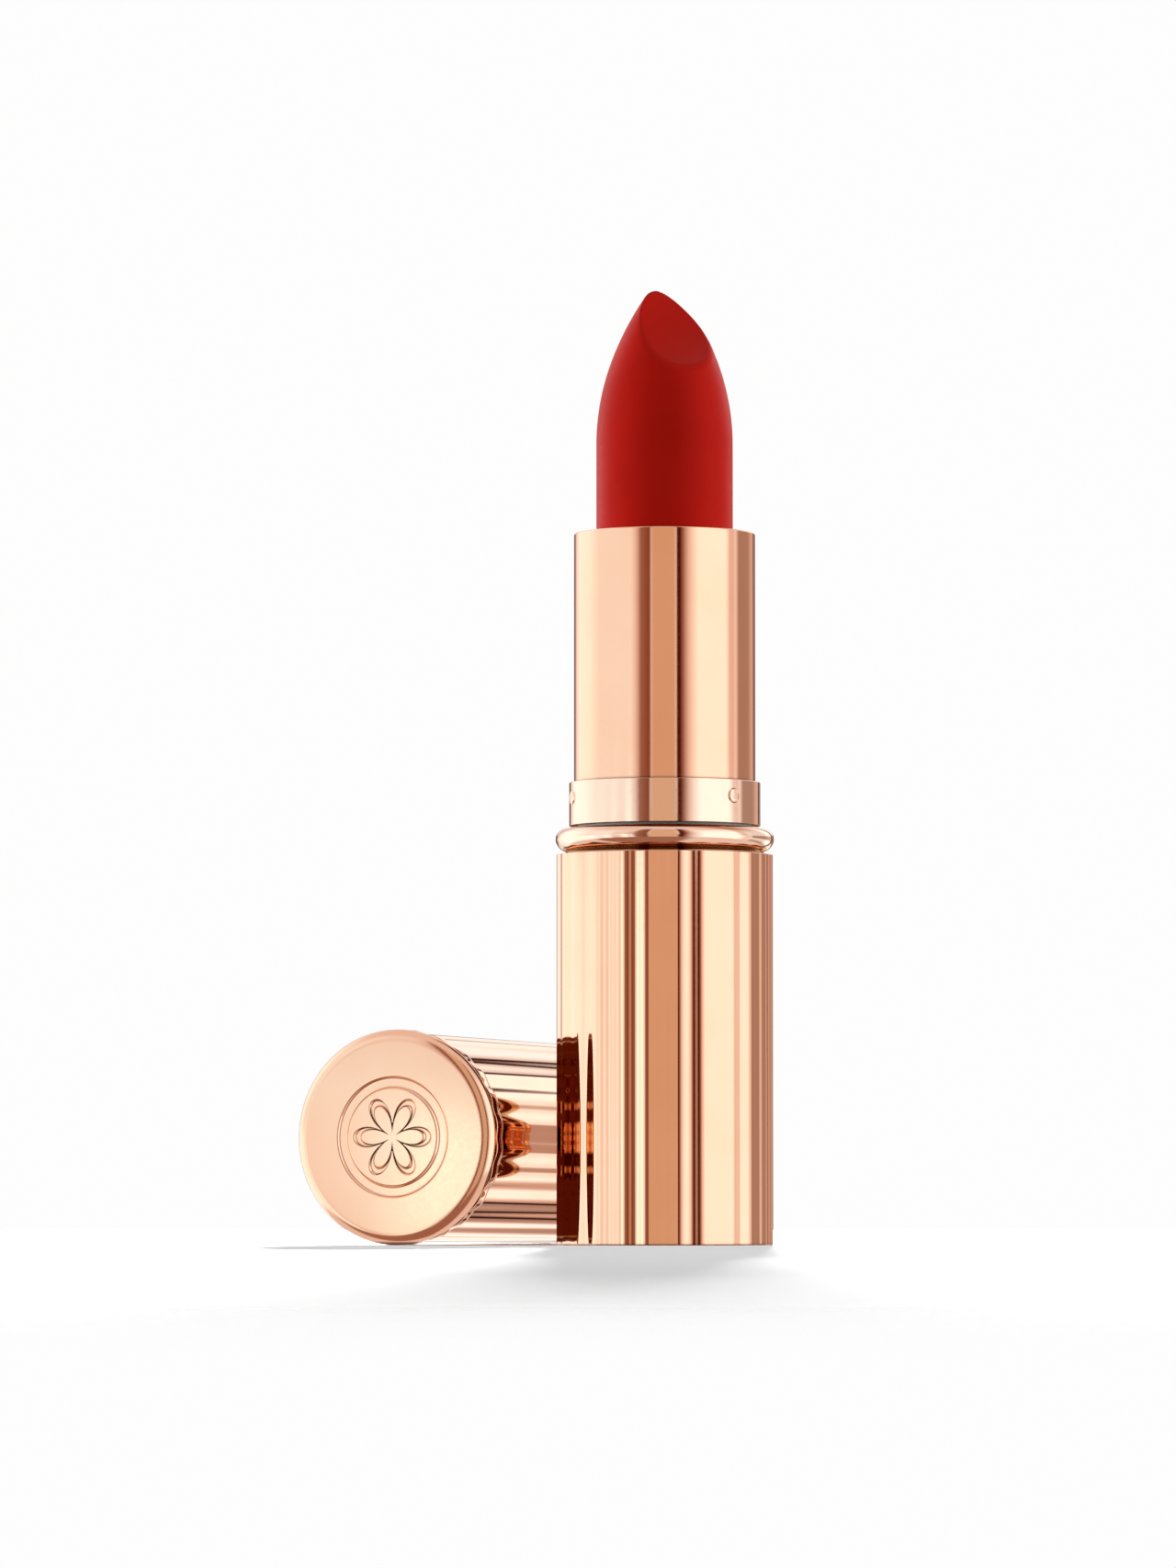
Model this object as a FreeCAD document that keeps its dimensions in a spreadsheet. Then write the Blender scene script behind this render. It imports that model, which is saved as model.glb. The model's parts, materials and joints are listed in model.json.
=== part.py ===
"""Lipstick case: a fluted base with a swivel mechanism, and its fluted push-on cap.

The case stands upright on its foot at the origin, +Z up, front towards -Y, with the
bullet fully raised. The cap lies on its side next to it. Lengths are in millimetres.
"""
import FreeCAD, Part
import math
import os
import re

import Sketcher

# Driving dimensions. Radii are measured from the case's or the cap's own axis, and
# heights from the foot (case pieces) or from the mouth (cap pieces).
SIZES = [
    # rolled flutes of the base and the cap
    ("flute_count", 24),
    ("flute_depth", 0.145),
    ("flute_sharpness", 0.075),
    ("base_flute_turn", 6.0),
    ("cap_flute_turn", 7.5),
    ("form_margin", 0.05),
    # how far a bore's cutter stands out of the piece
    ("cut_margin", 1.0),
    # base
    ("base_radius", 10.0),
    ("base_height", 35.85),
    ("base_floor", 0.8),
    ("foot_round", 0.3),
    ("base_bore", 9.2),
    ("liner_bore", 8.2),
    ("liner_top", 34.5),
    ("weight_height", 10.0),
    ("label_radius", 8.0),
    ("label_thickness", 0.1),
    # trim ring
    ("ring_radius", 10.05),
    ("ring_neck_radius", 9.1),
    ("ring_neck_top", 36.15),
    ("ring_under_round", 1.25),
    ("ring_band_bottom", 37.15),
    ("ring_top", 38.25),
    ("ring_top_round", 0.95),
    # guide tube and its brake ring
    ("guide_bottom", 20.0),
    ("guide_foot_top", 28.0),
    ("guide_foot_wall", 0.8),
    ("guide_radius", 7.39),
    ("guide_bore", 6.91),
    ("guide_top", 64.9),
    ("guide_floor_top", 31.2),
    ("guide_floor", 1.0),
    ("guide_neck_bore", 6.2),
    ("brake_level", 29.5),
    ("brake_groove_width", 0.9),
    ("brake_groove_radius", 6.65),
    ("brake_section", 0.38),
    ("brake_ring_radius", 7.05),
    ("slot_width", 2.0),
    ("slot_bottom", 32.5),
    ("slot_top", 58.5),
    # sleeve: spiral, tube and collar
    ("spiral_bore", 7.45),
    ("spiral_radius", 8.05),
    ("spiral_bottom", 28.4),
    ("spiral_top", 64.2),
    ("spiral_lead", 16.0),
    ("spiral_groove_width", 2.1),
    ("spiral_groove_radius", 7.79),
    ("spiral_turns", 1.5),
    ("spiral_overrun", 0.5),
    ("spiral_cut_margin", 0.3),
    ("sleeve_bottom", 38.5),
    ("sleeve_radius", 8.35),
    ("sleeve_top", 65.5),
    ("sleeve_lip", 0.4),
    ("sleeve_lip_bore", 6.95),
    ("sleeve_rim_round", 0.12),
    ("collar_radius", 8.8),
    ("collar_top", 42.5),
    ("collar_chamfer", 0.15),
    ("pip_count", 3),
    ("pip_radius", 0.75),
    ("pip_level", 41.0),
    ("pip_height", 0.18),
    ("pip_turn", -45.0),
    # cup and bullet
    ("cup_bottom", 55.5),
    ("cup_floor", 0.8),
    ("cup_top", 64.5),
    ("cup_radius", 6.85),
    ("lug_level", 57.5),
    ("lug_radius", 0.95),
    ("lug_reach", 7.65),
    ("bullet_radius", 6.3),
    ("bullet_shoulder", 73.8),
    ("bullet_flank_radius", 22.0),
    ("bullet_flank_top", 81.1),
    ("bullet_nose_radius", 27.4),
    ("bullet_apex", 89.85),
    ("facet_reach", 1.5),
    ("facet_level", 84.16),
    ("facet_slope", 50.0),
    ("facet_turn", 29.6),
    ("facet_roll", 27.9),
    ("facet_radius", 19.6),
    # cap
    ("cap_radius", 9.6),
    ("cap_rim_radius", 9.88),
    ("cap_rim_bottom", 36.0),
    ("cap_rim_top", 36.85),
    ("cap_edge_round", 0.2),
    ("cap_bore", 9.25),
    ("cap_wall_bottom", 36.1),
    ("cap_wall_top", 36.7),
    ("cap_liner_bore", 8.9),
    ("cap_liner_inset", 0.25),
    ("cap_liner_top", 34.0),
    ("snap_level", 2.75),
    ("snap_width", 1.8),
    ("snap_radius", 9.05),
    ("medallion_seat", 9.3),
    ("medallion_foot", 9.2),
    ("medallion_under", 37.2),
    ("medallion_chamfer", 0.15),
    ("medallion_radius", 9.86),
    ("medallion_edge", 37.5),
    ("medallion_shoulder", 8.7),
    ("medallion_shoulder_top", 38.25),
    ("medallion_edge_round", 1.3),
    ("medallion_crown", 0.2),
    ("cap_mouth_x", -9.94),
    ("cap_mouth_y", 31.55),
    ("cap_yaw", 23.0),
]

doc = FreeCAD.newDocument("lipstick_case")
sheet = doc.addObject("Spreadsheet::Sheet", "Sizes")


def fill_sheet():
    """Write every driving dimension into the sheet, with its alias."""
    for row, (alias, number) in enumerate(SIZES, start=1):
        sheet.set(f"A{row}", alias)
        sheet.set(f"B{row}", str(number))
        sheet.setAlias(f"B{row}", alias)
    doc.recompute()


def bound(text):
    """Turn a formula of aliases into an expression that reads the sheet."""
    names = {alias for alias, _ in SIZES}
    return re.sub(r"[a-z_0-9]+", lambda word: f"Sizes.{word[0]}" if word[0] in names else word[0], text)


def size(text):
    """The present value of a formula of aliases."""
    return float(sheet.evalExpression(bound(text)))


# ---------------------------------------------------------------- sketches and bodies

def new_body(label):
    """A PartDesign body that carries one piece."""
    body = doc.addObject("PartDesign::Body", label)
    body.Label = label
    return body


def plane_of(body, role):
    """One of the body's own origin planes."""
    return next(item for item in body.Origin.OriginFeatures if item.Role == role)


def new_sketch(body, name, role):
    """An empty sketch on one of the body's origin planes."""
    sketch = body.newObject("Sketcher::SketchObject", name)
    sketch.AttachmentSupport = [(plane_of(body, role), "")]
    sketch.MapMode = "FlatFace"
    return sketch


def bind(sketch, index, name, text):
    """Name a constraint and drive it from the sheet."""
    sketch.renameConstraint(index, name)
    sketch.setExpression(f"Constraints.{name}", bound(text))


def fix_point(sketch, geometry, end, across, up, tag):
    """Hold a point of the sketch at two formulas, or on an axis where one is zero."""
    directions = (("DistanceX", across, -2), ("DistanceY", up, -1))
    for letter, (kind, text, axis) in zip("xy", directions):
        if text == "0":
            sketch.addConstraint(Sketcher.Constraint("PointOnObject", geometry, end, axis))
        else:
            rule = Sketcher.Constraint(kind, geometry, end, size(text))
            bind(sketch, sketch.addConstraint(rule), f"{letter}_{tag}", text)


def arc_between(start, end, radius):
    """The short arc from start to end: counter-clockwise where the radius is positive."""
    chord = end - start
    middle = (start + end) * 0.5
    left = FreeCAD.Vector(-chord.y, chord.x, 0).normalize()
    offset = math.sqrt(radius ** 2 - (chord.Length / 2) ** 2)
    centre = middle + left * math.copysign(offset, radius)
    first, last = (start, end) if radius > 0 else (end, start)
    angles = [math.atan2(point.y - centre.y, point.x - centre.x) for point in (first, last)]
    circle = Part.Circle(centre, FreeCAD.Vector(0, 0, 1), abs(radius))
    return Part.ArcOfCircle(circle, angles[0], angles[1])


def draw_outline(sketch, outline):
    """Draw a closed outline of (across, up) or (across, up, arc radius to the next point)."""
    points = [FreeCAD.Vector(size(item[0]), size(item[1]), 0) for item in outline]
    ends = []
    for index, item in enumerate(outline):
        start, end = points[index], points[(index + 1) % len(points)]
        if len(item) == 2:
            edge = sketch.addGeometry(Part.LineSegment(start, end))
            ends.append((edge, 1, 2))
            continue
        radius = size(item[2])
        edge = sketch.addGeometry(arc_between(start, end, radius))
        ends.append((edge, 1, 2) if radius > 0 else (edge, 2, 1))
    for index, (edge, _, last) in enumerate(ends):
        following, first, _ = ends[(index + 1) % len(ends)]
        sketch.addConstraint(Sketcher.Constraint("Coincident", edge, last, following, first))
    for index, item in enumerate(outline):
        edge, first, _ = ends[index]
        fix_point(sketch, edge, first, item[0], item[1], f"p{index}")
        if len(item) == 3:
            rule = Sketcher.Constraint("Radius", edge, abs(size(item[2])))
            bind(sketch, sketch.addConstraint(rule), f"arc_{index}", item[2].lstrip("-"))


def turned(body, name, outline, kind="Revolution"):
    """Revolve an outline of (radius, height) points about the body's Z axis."""
    sketch = new_sketch(body, f"{name}_outline", "XZ_Plane")
    draw_outline(sketch, outline)
    feature = body.newObject(f"PartDesign::{kind}", name)
    feature.Profile = sketch
    feature.ReferenceAxis = (sketch, ["V_Axis"])
    feature.Angle = 360
    sketch.Visibility = False
    doc.recompute()
    return feature


def rectangle(inner, outer, bottom, top):
    """The outline of a plain tube or disc."""
    return [(inner, bottom), (outer, bottom), (outer, top), (inner, top)]


def draw_circle(sketch, up, radius):
    """A circle on the sketch's vertical axis."""
    centre = FreeCAD.Vector(0, size(up), 0)
    edge = sketch.addGeometry(Part.Circle(centre, FreeCAD.Vector(0, 0, 1), size(radius)))
    fix_point(sketch, edge, 3, "0", up, "centre")
    rule = Sketcher.Constraint("Radius", edge, size(radius))
    bind(sketch, sketch.addConstraint(rule), "radius", radius)


def cut_bore(body, name, radius, bottom, top):
    """Cut a round bore between two heights, and make sure that it cuts."""
    before = body.Shape.Volume
    turned(body, name, rectangle("0", radius, bottom, top), "Groove")
    if body.Shape.Volume >= before:
        raise RuntimeError(f"{name} cuts nothing")


# ---------------------------------------------------------------- primitives

def cylinder(name, radius, bottom, height):
    """A Part cylinder on the Z axis, driven from the sheet."""
    item = doc.addObject("Part::Cylinder", name)
    item.setExpression("Radius", bound(radius))
    item.setExpression("Height", bound(height))
    item.setExpression("Placement.Base.z", bound(bottom))
    return item


def combine(kind, name, base, tool):
    """A Part::Cut, Part::Fuse or Part::Common of two objects."""
    item = doc.addObject(f"Part::{kind}", name)
    item.Label = name
    item.Base = base
    item.Tool = tool
    doc.recompute()
    return item


def fluted_outline(name, crest, turn):
    """One closed curve round the crests and valleys of the flutes.

    The radius is crest - a (1 - cos w) + a k (1 - cos 2w), with w one full turn per
    flute, so that the crests are broad and the valleys narrow.
    """
    amplitude = size("flute_depth") / 2
    sharpness = size("flute_sharpness")
    count = int(size("flute_count"))
    steps = 4 * count
    points = []
    for step in range(steps):
        wave = math.tau * count * step / steps
        inward = amplitude * (1 - math.cos(wave)) - amplitude * sharpness * (1 - math.cos(2 * wave))
        angle = math.tau * step / steps + math.radians(size(turn))
        radius = size(crest) - inward
        points.append(FreeCAD.Vector(radius * math.cos(angle), radius * math.sin(angle), 0))
    curve = Part.BSplineCurve()
    curve.interpolate(points, PeriodicFlag=True)
    item = doc.addObject("Part::Feature", name)
    item.Shape = Part.Wire(curve.toShape())
    return item


def fluted_bar(name, crest, turn, bottom, top):
    """A solid fluted bar between two heights."""
    outline = fluted_outline(f"{name}_outline", crest, turn)
    outline.setExpression("Placement.Base.z", bound(bottom))
    bar = doc.addObject("Part::Extrusion", name)
    bar.Base = outline
    bar.DirMode = "Custom"
    bar.Dir = FreeCAD.Vector(0, 0, 1)
    bar.setExpression("LengthFwd", bound(f"{top} - {bottom}"))
    bar.Solid = True
    doc.recompute()
    return bar


# ---------------------------------------------------------------- pieces of the base

def base_shell():
    """Fluted metal shell, closed at the foot, with a shallow seat for the label."""
    bar = fluted_bar("base_bar", "base_radius", "base_flute_turn", "0", "base_height")
    form = new_body("base_form")
    turned(form, "base_form_turned", [
        ("0", "label_thickness"),
        ("label_radius", "label_thickness"),
        ("label_radius", "0"),
        ("base_radius - foot_round", "0", "foot_round + form_margin"),
        ("base_radius + form_margin", "foot_round + form_margin"),
        ("base_radius + form_margin", "base_height - foot_round - form_margin", "foot_round + form_margin"),
        ("base_radius - foot_round", "base_height"),
        ("base_bore", "base_height"),
        ("base_bore", "base_floor"),
        ("0", "base_floor"),
    ])
    return combine("Common", "base_shell", bar, form)


def base_liner():
    """Plastic tube pressed into the shell."""
    body = new_body("base_liner")
    turned(body, "liner_tube", rectangle("liner_bore", "base_bore", "base_floor", "liner_top"))
    return body


def base_weight():
    """Steel slug at the foot."""
    slug = cylinder("base_weight", "liner_bore", "base_floor", "weight_height")
    slug.Label = "base_weight"
    return slug


def base_label():
    """Round label, flush with the foot."""
    label = cylinder("base_label", "label_radius", "0", "label_thickness")
    label.Label = "base_label"
    return label


def trim_ring():
    """Bullnose ring with a short neck, and a spigot that holds it in the shell."""
    body = new_body("trim_ring")
    turned(body, "ring_turned", [
        ("liner_bore", "liner_top"),
        ("base_bore", "liner_top"),
        ("base_bore", "base_height"),
        ("ring_neck_radius", "base_height"),
        ("ring_neck_radius", "ring_neck_top", "ring_under_round"),
        ("ring_radius", "ring_band_bottom"),
        ("ring_radius", "ring_top - ring_top_round", "ring_top_round"),
        ("ring_radius - ring_top_round", "ring_top"),
        ("liner_bore", "ring_top"),
    ])
    return body


def guide_tube():
    """Inner tube with two straight slots that keep the cup from turning."""
    body = new_body("guide_tube")
    turned(body, "guide_turned", [
        ("0", "guide_floor_top - guide_floor"),
        ("guide_neck_bore", "guide_floor_top - guide_floor"),
        ("guide_neck_bore", "guide_foot_top - guide_foot_wall"),
        ("liner_bore - guide_foot_wall", "guide_foot_top - guide_foot_wall"),
        ("liner_bore - guide_foot_wall", "guide_bottom"),
        ("liner_bore", "guide_bottom"),
        ("liner_bore", "guide_foot_top"),
        ("guide_radius", "guide_foot_top"),
        ("guide_radius", "brake_level - brake_groove_width / 2"),
        ("brake_groove_radius", "brake_level - brake_groove_width / 2"),
        ("brake_groove_radius", "brake_level + brake_groove_width / 2"),
        ("guide_radius", "brake_level + brake_groove_width / 2"),
        ("guide_radius", "guide_top"),
        ("guide_bore", "guide_top"),
        ("guide_bore", "guide_floor_top"),
        ("0", "guide_floor_top"),
    ])
    sketch = new_sketch(body, "slot_outline", "YZ_Plane")
    draw_slot(sketch)
    before = body.Shape.Volume
    slots = body.newObject("PartDesign::Pocket", "slots")
    slots.Profile = sketch
    slots.Type = "ThroughAll"
    slots.Midplane = True
    sketch.Visibility = False
    doc.recompute()
    if body.Shape.Volume >= before:
        raise RuntimeError("the slots cut nothing")
    return body


def draw_slot(sketch):
    """An upright slot with round ends, centred on the sketch's vertical axis."""
    radius = size("slot_width / 2")
    low = FreeCAD.Vector(0, size("slot_bottom") + radius, 0)
    high = FreeCAD.Vector(0, size("slot_top") - radius, 0)
    side = FreeCAD.Vector(radius, 0, 0)
    normal = FreeCAD.Vector(0, 0, 1)
    top = sketch.addGeometry(Part.ArcOfCircle(Part.Circle(high, normal, radius), 0, math.pi))
    left = sketch.addGeometry(Part.LineSegment(high - side, low - side))
    foot = sketch.addGeometry(Part.ArcOfCircle(Part.Circle(low, normal, radius), math.pi, math.tau))
    right = sketch.addGeometry(Part.LineSegment(low + side, high + side))
    for first, second in ((top, left), (left, foot), (foot, right), (right, top)):
        sketch.addConstraint(Sketcher.Constraint("Tangent", first, 2, second, 1))
    fix_point(sketch, top, 3, "0", "slot_top - slot_width / 2", "high")
    fix_point(sketch, foot, 3, "0", "slot_bottom + slot_width / 2", "low")
    rule = Sketcher.Constraint("Radius", top, radius)
    bind(sketch, sketch.addConstraint(rule), "radius", "slot_width / 2")


def brake_ring():
    """Rubber O-ring that gives the swivel its drag."""
    ring = doc.addObject("Part::Torus", "brake_ring")
    ring.Label = "brake_ring"
    ring.setExpression("Radius1", bound("brake_ring_radius"))
    ring.setExpression("Radius2", bound("brake_section"))
    ring.setExpression("Placement.Base.z", bound("brake_level"))
    return ring


# ---------------------------------------------------------------- pieces of the sleeve

def spiral_sleeve():
    """Plastic sleeve with a two-start spiral groove that drives the cup's lugs."""
    body = new_body("spiral_blank")
    turned(body, "spiral_tube", rectangle("spiral_bore", "spiral_radius", "spiral_bottom", "spiral_top"))
    result = body
    for start in range(2):
        groove = spiral_groove(start)
        name = "spiral_sleeve" if start else "spiral_first_cut"
        result = combine("Cut", name, result, groove)
    return result


def spiral_groove(start):
    """One helical groove, swept with a rectangular section.

    It passes the lug's level after a whole number of half turns, and overruns both ends.
    """
    lead_in = size("360 * spiral_overrun / spiral_lead")
    turn = FreeCAD.Rotation(FreeCAD.Vector(0, 0, 1), 180 * start - lead_in)
    bottom = size("lug_level - spiral_turns * spiral_lead - spiral_overrun")
    helix = doc.addObject("Part::Helix", f"spiral_path_{start}")
    helix.setExpression("Pitch", bound("spiral_lead"))
    helix.setExpression("Height", bound("spiral_turns * spiral_lead + 2 * spiral_overrun"))
    helix.setExpression("Radius", bound("spiral_bore"))
    helix.Placement = FreeCAD.Placement(FreeCAD.Vector(0, 0, bottom), turn)
    section = doc.addObject("Part::Plane", f"spiral_section_{start}")
    section.setExpression("Length", bound("spiral_groove_radius - spiral_bore + spiral_cut_margin"))
    section.setExpression("Width", bound("spiral_groove_width"))
    inner = size("spiral_bore - spiral_cut_margin")
    corner = FreeCAD.Vector(inner, 0, bottom - size("spiral_groove_width / 2"))
    upright = FreeCAD.Rotation(FreeCAD.Vector(1, 0, 0), 90)
    section.Placement = FreeCAD.Placement(turn.multVec(corner), turn.multiply(upright))
    doc.recompute()
    sweep = doc.addObject("Part::Sweep", f"spiral_groove_{start}")
    sweep.Sections = [section]
    edges = [f"Edge{number + 1}" for number in range(len(helix.Shape.Edges))]
    sweep.Spine = (helix, edges)
    sweep.Solid = True
    sweep.Frenet = True
    doc.recompute()
    return sweep


def sleeve_tube():
    """Bright metal tube over the spiral sleeve, with an inward lip at the mouth."""
    body = new_body("sleeve_tube")
    turned(body, "sleeve_turned", [
        ("spiral_radius", "sleeve_bottom"),
        ("sleeve_radius", "sleeve_bottom"),
        ("sleeve_radius", "sleeve_top - sleeve_rim_round", "sleeve_rim_round"),
        ("sleeve_radius - sleeve_rim_round", "sleeve_top"),
        ("sleeve_lip_bore", "sleeve_top"),
        ("sleeve_lip_bore", "sleeve_top - sleeve_lip"),
        ("spiral_radius", "sleeve_top - sleeve_lip"),
    ])
    return body


def snap_collar():
    """Collar with three round pips that click into the cap's liner."""
    body = new_body("snap_collar")
    turned(body, "collar_turned", [
        ("0", "sleeve_bottom"),
        ("collar_radius", "sleeve_bottom"),
        ("collar_radius", "collar_top - collar_chamfer"),
        ("collar_radius - collar_chamfer", "collar_top"),
        ("0", "collar_top"),
    ])
    sketch = new_sketch(body, "pip_outline", "YZ_Plane")
    draw_circle(sketch, "pip_level", "pip_radius")
    pip = body.newObject("PartDesign::Pad", "pip")
    pip.Profile = sketch
    pip.setExpression("Length", bound("collar_radius + pip_height"))
    sketch.Visibility = False
    doc.recompute()
    pips = body.newObject("PartDesign::PolarPattern", "pips")
    pips.Originals = [pip]
    pips.Axis = (sketch, ["V_Axis"])
    pips.Angle = 360
    pips.setExpression("Occurrences", bound("pip_count"))
    body.Tip = pips
    doc.recompute()
    cut_bore(body, "collar_bore", "sleeve_radius", "sleeve_bottom - cut_margin", "collar_top + cut_margin")
    body.setExpression("Placement.Rotation.Angle", bound("pip_turn"))
    return body


# ---------------------------------------------------------------- cup and bullet

def bullet_cup():
    """Cup that carries the bullet, with two lugs that ride in the slots and grooves."""
    body = new_body("bullet_cup")
    turned(body, "cup_turned", rectangle("0", "cup_radius", "cup_bottom", "cup_top"))
    sketch = new_sketch(body, "lug_outline", "YZ_Plane")
    draw_circle(sketch, "lug_level", "lug_radius")
    lugs = body.newObject("PartDesign::Pad", "lugs")
    lugs.Profile = sketch
    lugs.setExpression("Length", bound("2 * lug_reach"))
    lugs.Midplane = True
    sketch.Visibility = False
    doc.recompute()
    cut_bore(body, "cup_bore", "bullet_radius", "cup_bottom + cup_floor", "cup_top + cut_margin")
    return body


def bullet():
    """Moulded colour stick: two tangent arcs to a point, cut by a slanted hollow facet."""
    stick = new_body("bullet_stick")
    turned(stick, "bullet_turned", [
        ("0", "cup_bottom + cup_floor"),
        ("bullet_radius", "cup_bottom + cup_floor"),
        ("bullet_radius", "bullet_shoulder", "bullet_flank_radius"),
        (
            "bullet_radius - bullet_flank_radius"
            " + sqrt(bullet_flank_radius ^ 2 - (bullet_flank_top - bullet_shoulder) ^ 2)",
            "bullet_flank_top",
            "bullet_nose_radius",
        ),
        ("0", "bullet_apex"),
    ])
    cutter = doc.addObject("Part::Cylinder", "facet_cutter")
    cutter.setExpression("Radius", bound("facet_radius"))
    cutter.setExpression("Height", bound("4 * bullet_radius"))
    slope, roll = math.radians(size("facet_slope")), math.radians(size("facet_roll"))
    outward = FreeCAD.Vector(0, -math.sin(slope), math.cos(slope))
    uphill = FreeCAD.Vector(0, math.cos(slope), math.sin(slope))
    axis = FreeCAD.Vector(math.cos(roll), 0, 0) + uphill * math.sin(roll)
    middle = FreeCAD.Vector(0, size("-facet_reach"), size("facet_level")) + outward * size("facet_radius")
    end = middle - axis * size("2 * bullet_radius")
    upright = FreeCAD.Vector(0, 0, 1)
    turn = FreeCAD.Rotation(upright, size("facet_turn"))
    lying = FreeCAD.Rotation(upright, axis)
    cutter.Placement = FreeCAD.Placement(turn.multVec(end), turn.multiply(lying))
    return combine("Cut", "bullet", stick, cutter)


# ---------------------------------------------------------------- pieces of the cap

def cap_place():
    """Where the cap lies: on its medallion and its mouth, closed end towards the front left."""
    barrel_reach = -doc.getObject("cap_barrel").Shape.BoundBox.YMin
    tilt = math.degrees(math.asin((size("medallion_radius") - barrel_reach) / size("medallion_edge")))
    lean = FreeCAD.Rotation(FreeCAD.Vector(1, 0, 0), 90 - tilt)
    yaw = FreeCAD.Rotation(FreeCAD.Vector(0, 0, 1), -size("cap_yaw"))
    mouth = FreeCAD.Vector(size("cap_mouth_x"), size("cap_mouth_y"), barrel_reach)
    return FreeCAD.Placement(mouth, yaw.multiply(lean))


def cap_shell():
    """Fluted metal shell with a slightly wider rim round its closed end."""
    barrel = fluted_bar("cap_barrel", "cap_radius", "cap_flute_turn", "0", "cap_rim_bottom")
    rim = fluted_bar("cap_rim", "cap_rim_radius", "cap_flute_turn", "cap_rim_bottom", "cap_rim_top")
    blank = combine("Fuse", "cap_blank", barrel, rim)
    form = new_body("cap_form")
    turned(form, "cap_form_turned", [
        ("cap_bore", "0"),
        ("cap_radius - cap_edge_round", "0", "cap_edge_round + form_margin"),
        ("cap_radius + form_margin", "cap_edge_round + form_margin"),
        ("cap_radius + form_margin", "cap_rim_bottom - cap_edge_round"),
        ("cap_rim_radius + form_margin", "cap_rim_bottom"),
        (
            "cap_rim_radius + form_margin",
            "cap_rim_top - cap_edge_round - form_margin",
            "cap_edge_round + form_margin",
        ),
        ("cap_rim_radius - cap_edge_round", "cap_rim_top"),
        ("medallion_seat", "cap_rim_top"),
        ("medallion_seat", "cap_wall_top"),
        ("0", "cap_wall_top"),
        ("0", "cap_wall_bottom"),
        ("cap_bore", "cap_wall_bottom"),
    ])
    return combine("Common", "cap_shell", blank, form)


def cap_liner():
    """Plastic liner with the groove that the collar's pips click into."""
    body = new_body("cap_liner")
    turned(body, "cap_liner_turned", [
        ("cap_liner_bore", "cap_liner_inset"),
        ("cap_bore", "cap_liner_inset"),
        ("cap_bore", "cap_liner_top"),
        ("cap_liner_bore", "cap_liner_top"),
        ("cap_liner_bore", "snap_level + snap_width / 2"),
        ("snap_radius", "snap_level + snap_width / 4"),
        ("snap_radius", "snap_level - snap_width / 4"),
        ("cap_liner_bore", "snap_level - snap_width / 2"),
    ])
    return body


def cap_medallion():
    """Domed disc that covers the closed end, with a foot set into the shell."""
    body = new_body("cap_medallion")
    turned(body, "medallion_turned", [
        ("0", "cap_wall_top"),
        ("medallion_foot", "cap_wall_top"),
        ("medallion_foot", "medallion_under"),
        ("medallion_radius - medallion_chamfer", "medallion_under"),
        ("medallion_radius", "medallion_under + medallion_chamfer"),
        ("medallion_radius", "medallion_edge", "medallion_edge_round"),
        (
            "medallion_shoulder",
            "medallion_shoulder_top",
            "(medallion_shoulder ^ 2 + medallion_crown ^ 2) / (2 * medallion_crown)",
        ),
        ("0", "medallion_shoulder_top + medallion_crown"),
    ])
    return body


# ---------------------------------------------------------------- build, check, write

CASE_PIECES = [
    base_shell, base_liner, base_weight, base_label, trim_ring, guide_tube, brake_ring,
    spiral_sleeve, sleeve_tube, snap_collar, bullet_cup, bullet,
]
CAP_PIECES = [cap_shell, cap_liner, cap_medallion]


def check_document():
    """Stop if any object of the document has failed."""
    for item in doc.Objects:
        if "Invalid" in item.State or "Error" in item.State:
            raise RuntimeError(f"{item.Name} is {item.State}")


def main():
    """Build every piece, check it and write one STEP file for each."""
    fill_sheet()
    pieces = [make() for make in CASE_PIECES + CAP_PIECES]
    doc.recompute()
    lying = cap_place()
    for piece in pieces[len(CASE_PIECES):]:
        piece.Placement = lying
    doc.recompute()
    check_document()
    os.makedirs("parts", exist_ok=True)
    for piece in pieces:
        shape = piece.Shape
        if shape.isNull() or not shape.isValid() or len(shape.Solids) != 1:
            raise RuntimeError(f"{piece.Label} is not one valid solid")
        shape.exportStep(f"parts/{piece.Label}.step")
        print(f"{piece.Label}: {shape.Volume:.1f} mm3")


main()
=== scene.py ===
"""Looks of the lipstick case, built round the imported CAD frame. Outlines are in millimetres."""
import json
import math

import bpy
import numpy as np
from mathutils import Matrix, Vector


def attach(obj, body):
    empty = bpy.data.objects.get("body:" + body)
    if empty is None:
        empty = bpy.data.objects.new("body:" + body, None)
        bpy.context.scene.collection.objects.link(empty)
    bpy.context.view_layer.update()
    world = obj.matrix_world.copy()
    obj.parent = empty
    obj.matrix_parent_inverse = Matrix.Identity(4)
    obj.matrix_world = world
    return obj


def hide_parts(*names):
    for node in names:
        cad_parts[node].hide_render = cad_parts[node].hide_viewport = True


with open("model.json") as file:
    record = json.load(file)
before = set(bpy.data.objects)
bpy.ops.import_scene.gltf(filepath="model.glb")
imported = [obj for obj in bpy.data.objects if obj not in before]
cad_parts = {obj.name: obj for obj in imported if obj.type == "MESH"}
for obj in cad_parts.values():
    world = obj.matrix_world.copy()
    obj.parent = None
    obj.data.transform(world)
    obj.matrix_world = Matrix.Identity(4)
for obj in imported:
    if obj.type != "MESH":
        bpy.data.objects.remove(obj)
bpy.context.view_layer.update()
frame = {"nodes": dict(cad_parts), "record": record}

MM = 0.001
FLUTES = 24
FLUTE_DEPTH = 0.145
FLUTE_SHARPNESS = 0.075
FLUTE_SEGMENTS = FLUTES * 24
BASE_TURN = 6.0
CAP_TURN = 7.5
COLLAR_RADIUS = 8.8
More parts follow.
